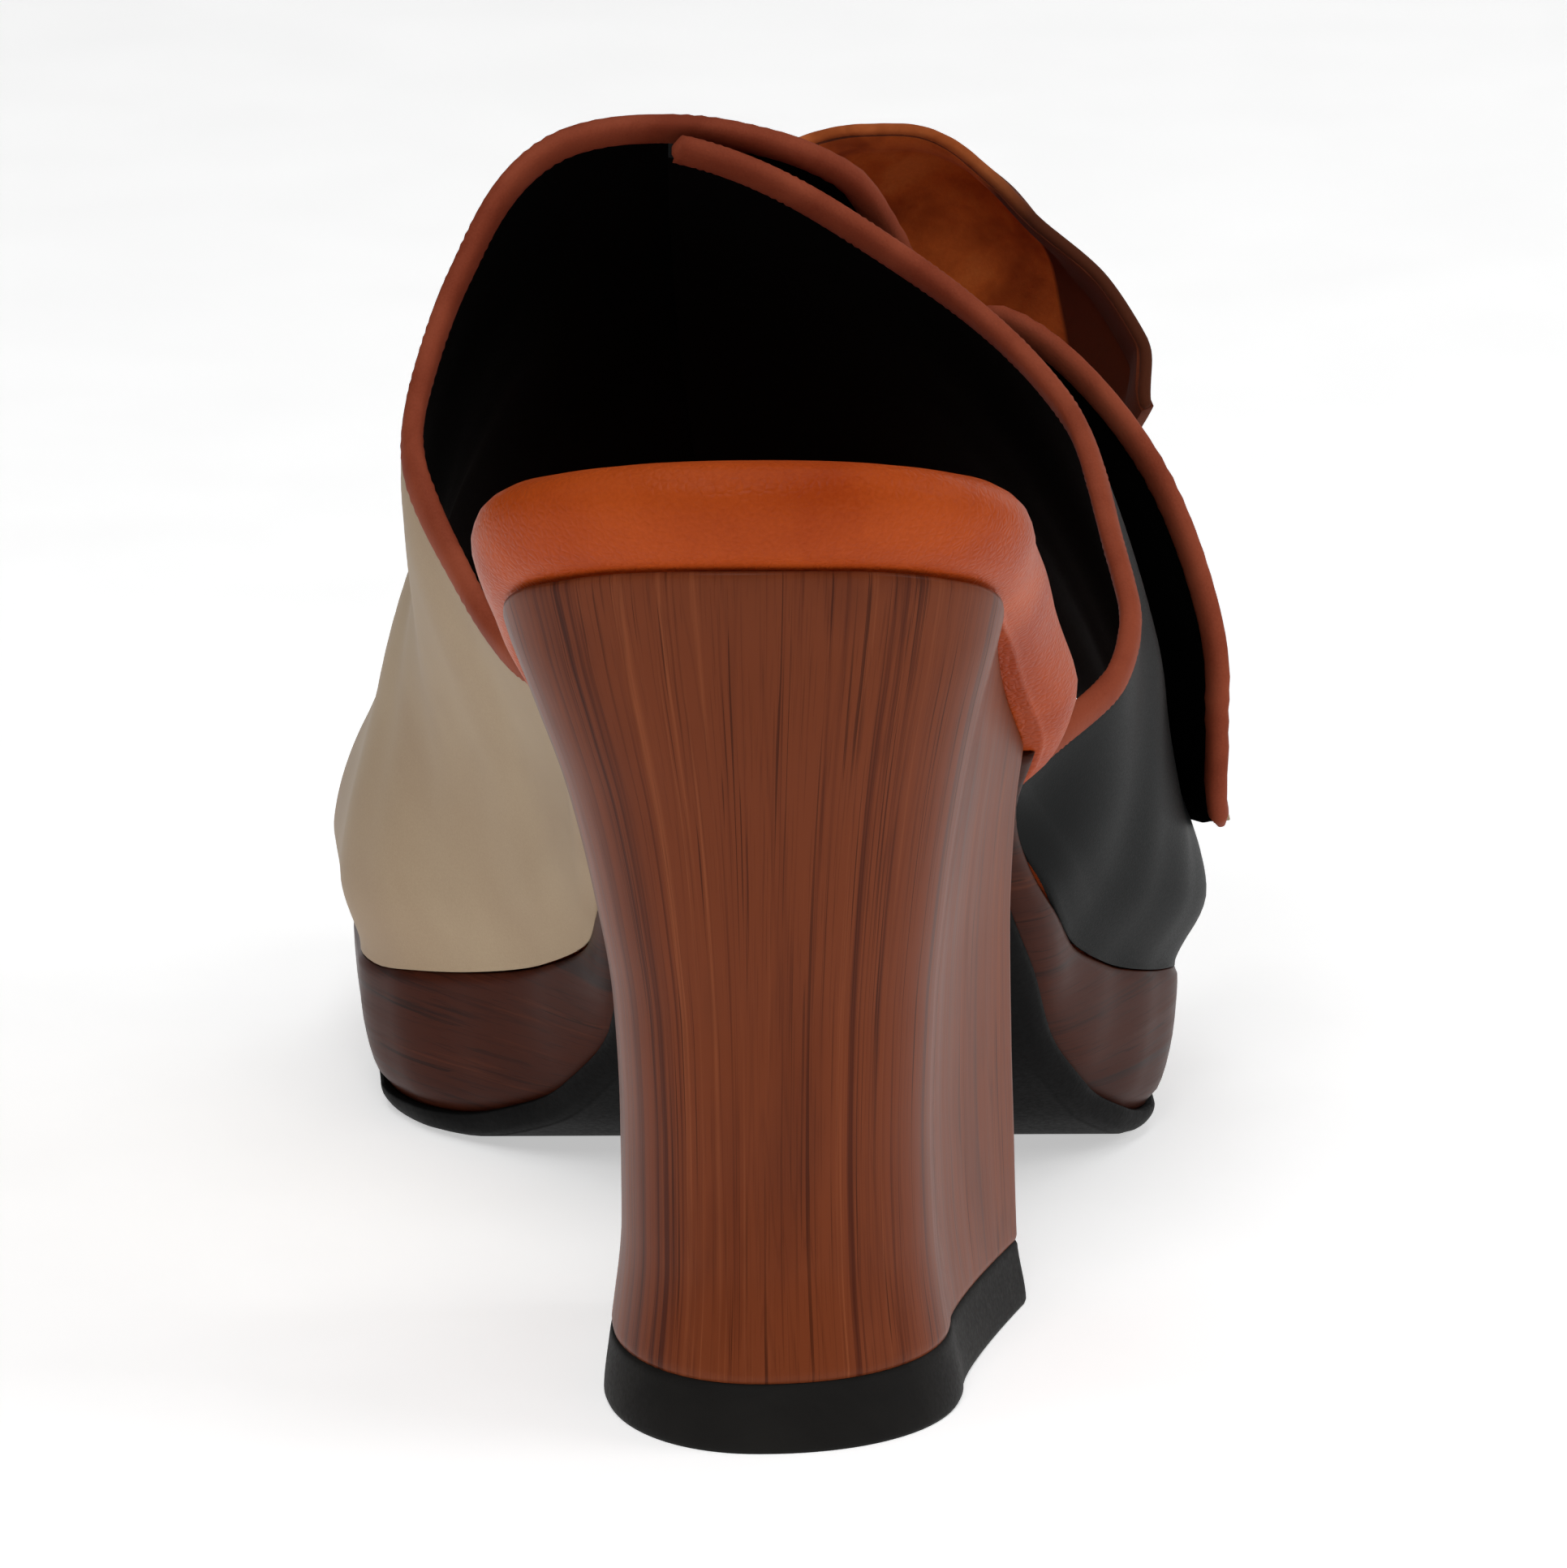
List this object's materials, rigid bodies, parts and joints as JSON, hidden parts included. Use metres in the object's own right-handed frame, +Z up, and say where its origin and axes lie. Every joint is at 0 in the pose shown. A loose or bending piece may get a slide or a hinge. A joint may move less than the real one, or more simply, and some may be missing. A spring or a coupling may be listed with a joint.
{
  "type": "platform mule sandal",
  "caption": "Right open-toe platform mule with a tall waisted block heel, a hollow wrapped leather upper with a free lateral flap, rolled edges and a standing petal on the vamp.",
  "frame": {"origin": "on the floor under the middle of the outsole's flat tread, on the foot's centre line", "axes": "+Y forward to the toe, +X to the lateral side, +Z up; metres"},
  "size_m": [0.0987, 0.2209, 0.1186],
  "materials": {
    "black_rubber": "matt moulded rubber",
    "wood": "high-gloss lacquered dark wood, grain up the heel",
    "cognac": "smooth cognac leather, soft sheen",
    "beige": "smooth beige leather; the lateral panel is charcoal, the lining black",
    "rust": "rolled leather binding",
    "suede": "mottled cognac suede"
  },
  "bodies": {
    "root": {"outsole": "black_rubber", "platform": "wood", "heel": "wood", "top_lift": "black_rubber", "footbed": "cognac", "upper": "beige", "collar_binding": "rust", "lateral_binding": "rust", "petal": "suede", "petal_binding": "rust"}
  },
  "joints": []
}
